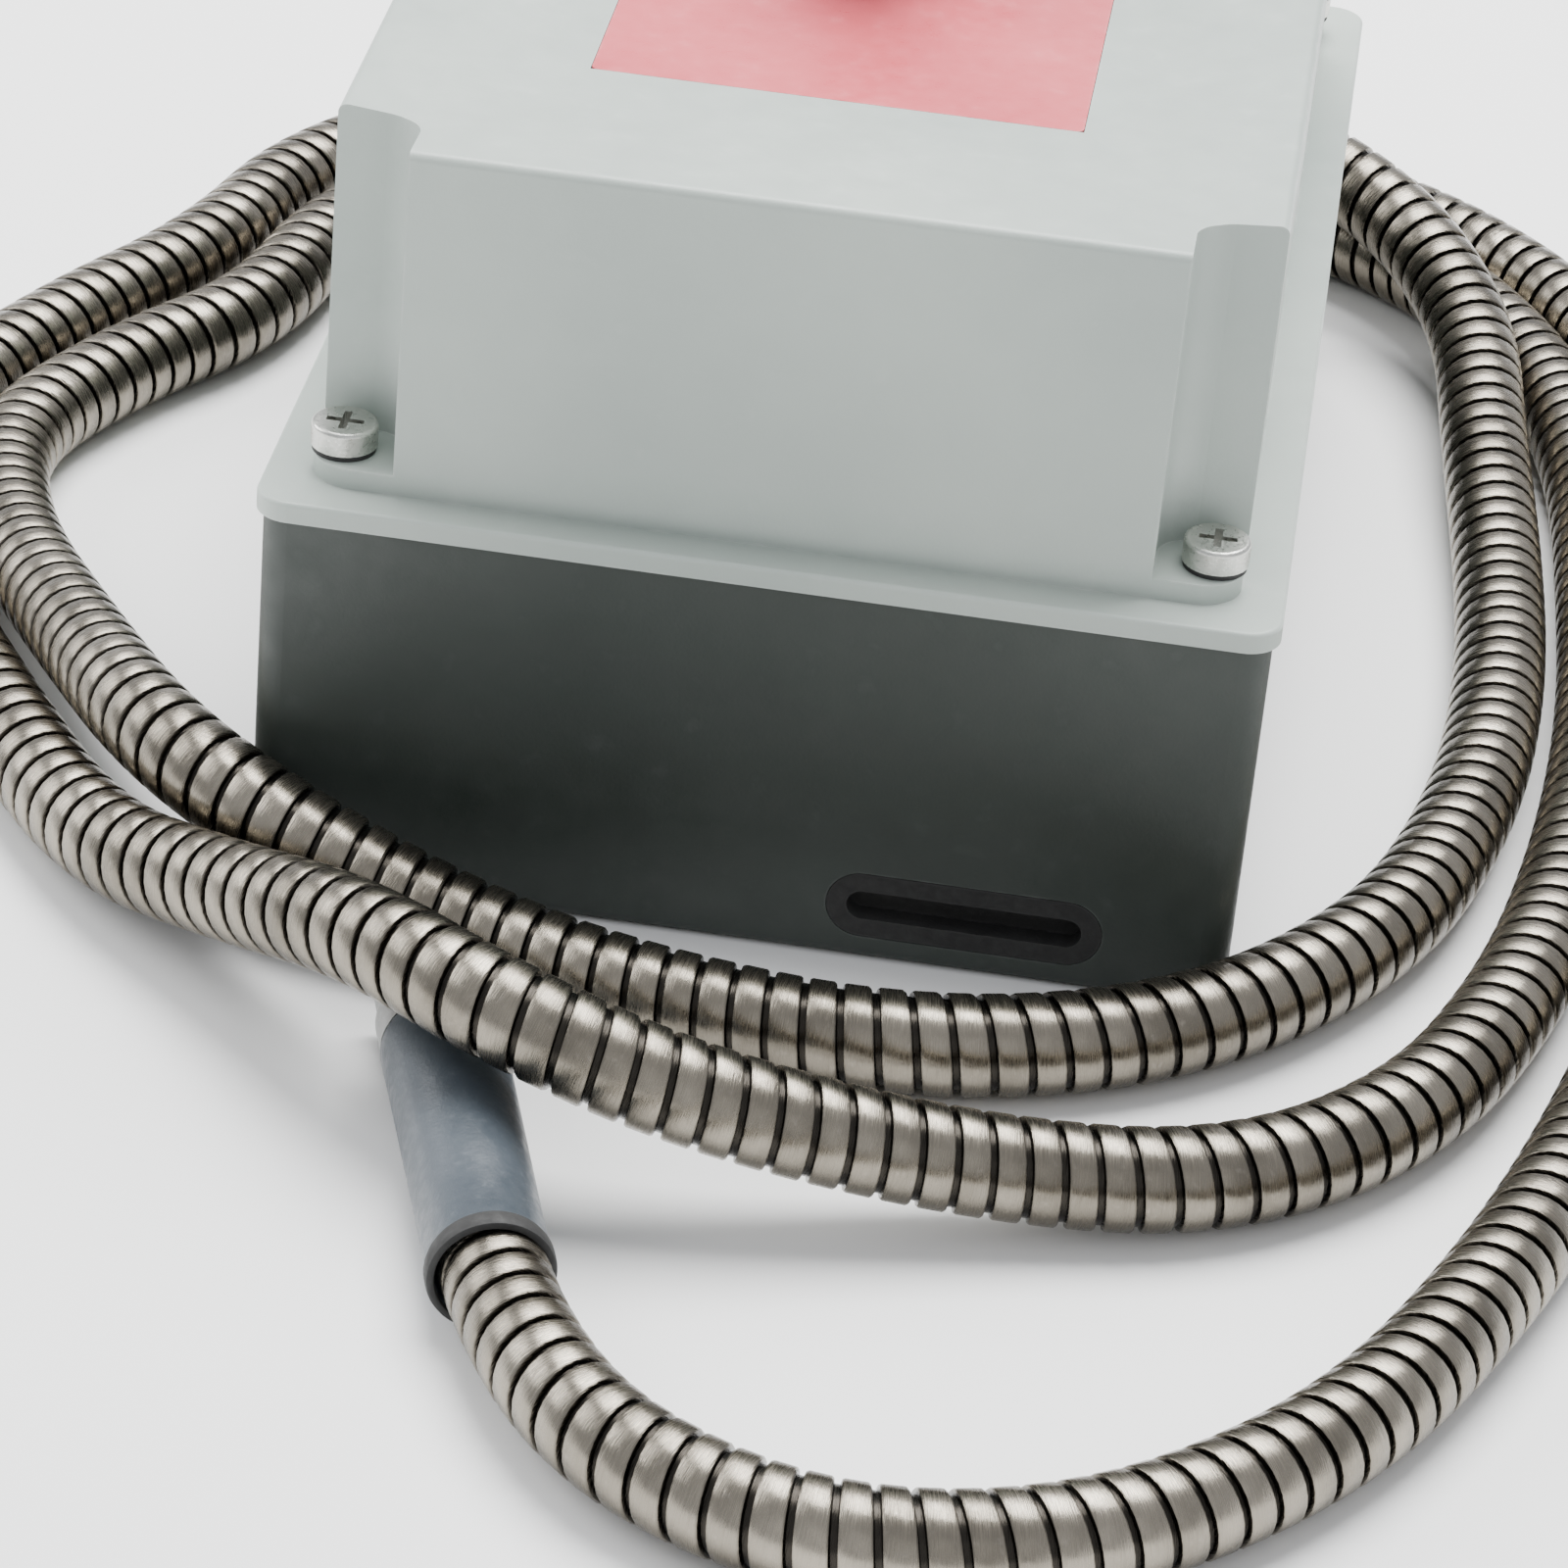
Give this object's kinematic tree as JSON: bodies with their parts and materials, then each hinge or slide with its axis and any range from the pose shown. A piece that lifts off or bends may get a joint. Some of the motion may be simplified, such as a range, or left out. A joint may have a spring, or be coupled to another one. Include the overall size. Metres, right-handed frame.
{
  "type": "manual transfer switch",
  "caption": "Two-way rotary power switch in a deep moulded enclosure with recessed red front plate, corner screw wells and a coiled metal conduit.",
  "frame": {"origin": "centre of the enclosure's back face, on the surface that it is fixed to or lies on", "axes": "+X across the enclosure, +Y along it towards the conduit's exit, +Z out of the back towards the handle"},
  "size_m": [0.2917, 0.4181, 0.1379],
  "materials": {
    "moulded_base": "satin moulded plastic",
    "moulded_cover": "satin moulded plastic",
    "red_plate": "smooth",
    "seal_rubber": "matt",
    "zinc_screw": "zinc plated",
    "brass": "plain",
    "plated_sheet": "zinc plated sheet",
    "switch_moulding": "matt",
    "rotor_moulding": "matt",
    "contact_metal": "tinned copper",
    "spring_steel": "bright",
    "shaft_steel": "drawn",
    "bush_plastic": "satin",
    "handle_plastic": "satin",
    "pointer_white": "smooth",
    "wire_cover": "smooth",
    "earth_wire_cover": "smooth",
    "fitting_metal": "zinc plated casting",
    "bushing_plastic": "smooth",
    "conduit_steel": "interlocked strip, bright",
    "boot_plastic": "smooth"
  },
  "bodies": {
    "enclosure": {"base_shell": "moulded_base", "base_gasket": "seal_rubber", "cover_shell": "moulded_cover", "cover_screws": "zinc_screw", "screw_seals": "seal_rubber", "base_inserts": "brass", "red_plate": "red_plate", "entry_grommet": "seal_rubber", "mounting_plate": "plated_sheet", "mounting_screws": "zinc_screw", "tie_bolts": "zinc_screw", "tie_nuts": "zinc_screw", "detent_housing": "switch_moulding", "detent_springs": "spring_steel", "top_plate": "switch_moulding", "link_straps": "contact_metal", "clamp_washers": "zinc_screw", "clamp_nuts": "zinc_screw", "terminal_screws": "zinc_screw", "front_bush": "bush_plastic", "shaft_seal": "seal_rubber", "bush_nut": "bush_plastic", "earth_bar": "brass", "earth_screws": "zinc_screw", "load_wires": "wire_cover", "earth_wire": "earth_wire_cover", "conduit_elbow": "fitting_metal", "elbow_seal": "seal_rubber", "elbow_locknut": "fitting_metal", "wire_bushing": "bushing_plastic", "gland_nut": "fitting_metal", "conduit": "conduit_steel", "conduit_boot": "boot_plastic", "end_connector": "fitting_metal", "deck_1": "switch_moulding", "contacts_1": "contact_metal", "deck_2": "switch_moulding", "contacts_2": "contact_metal", "deck_3": "switch_moulding", "contacts_3": "contact_metal"},
    "handle_and_shaft": {"handle": "handle_plastic", "handle_pointer": "pointer_white", "handle_screw": "zinc_screw", "shaft_extension": "shaft_steel", "shaft_coupler": "brass", "coupler_screws": "zinc_screw", "switch_shaft": "shaft_steel", "detent_wheel": "rotor_moulding", "rotor_1": "rotor_moulding", "blade_1": "contact_metal", "rotor_2": "rotor_moulding", "blade_2": "contact_metal", "rotor_3": "rotor_moulding", "blade_3": "contact_metal"}
  },
  "joints": [
    {"name": "handle_turn", "type": "hinge", "parent": "enclosure", "child": "handle_and_shaft", "pos_m": [0, 0, 0.11], "axis": [0, 0, 1], "range_deg": [-60, 60]}
  ]
}
